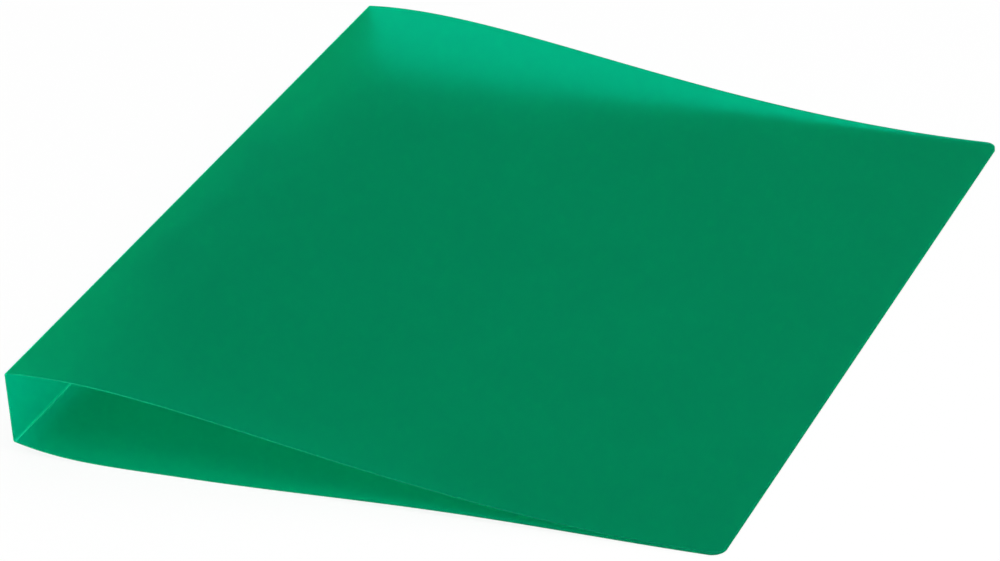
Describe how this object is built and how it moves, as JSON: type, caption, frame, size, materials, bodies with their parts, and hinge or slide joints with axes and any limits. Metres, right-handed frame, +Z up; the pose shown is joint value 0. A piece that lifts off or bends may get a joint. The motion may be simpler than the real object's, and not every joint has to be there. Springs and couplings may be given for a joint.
{
  "type": "ring binder",
  "caption": "Slim ring binder of translucent green plastic sheet, closed and lying flat, with a riveted steel ring mechanism inside its spine.",
  "frame": {"origin": "centre of the outer box's underside, on the table, with the binder closed and lying on its back cover", "axes": "+X from the spine to the fore-edge, +Y along the spine to the far end, +Z up out of the front cover"},
  "size_m": [0.2662, 0.32, 0.0328],
  "materials": {
    "green_sheet": "frosted translucent polypropylene sheet",
    "green_fold": "thin pressed hinge line, paler where the sheet is stressed",
    "plated_steel": "nickel plated",
    "rivet_steel": "nickel plated, slightly satin"
  },
  "bodies": {
    "back_cover": {"back_cover": "green_sheet"},
    "spine": {"spine_panel": "green_sheet", "back_fold_web": "green_fold", "front_fold_web": "green_fold", "ring_housing": "plated_steel", "near_rivet": "rivet_steel", "far_rivet": "rivet_steel"},
    "front_cover": {"front_cover": "green_sheet"},
    "upper_leaf": {"upper_blade": "plated_steel", "near_upper_half_ring": "plated_steel", "far_upper_half_ring": "plated_steel"},
    "lower_leaf": {"lower_blade": "plated_steel", "near_lower_half_ring": "plated_steel", "far_lower_half_ring": "plated_steel"}
  },
  "joints": [
    {"name": "back_fold", "type": "hinge", "parent": "back_cover", "child": "spine", "pos_m": [-0.1315, 0, 0.0049], "axis": [0, -1, 0], "range_deg": [0, 180], "deforming": ["back_fold_web"]},
    {"name": "front_fold", "type": "hinge", "parent": "spine", "child": "front_cover", "pos_m": [-0.1315, 0, 0.0321], "axis": [0, -1, 0], "range_deg": [0, 180], "deforming": ["front_fold_web"]},
    {"name": "ring_opening", "type": "hinge", "parent": "spine", "child": "upper_leaf", "pos_m": [-0.13005, 0, 0.0248], "axis": [0, -1, 0], "range_deg": [0, 16]},
    {"name": "lower_ring_opening", "type": "hinge", "parent": "spine", "child": "lower_leaf", "pos_m": [-0.13005, 0, 0.0122], "axis": [0, 1, 0], "range_deg": [0, 16]}
  ],
  "couplings": [
    {"joint": "lower_ring_opening", "follows": "ring_opening", "ratio": 1}
  ]
}
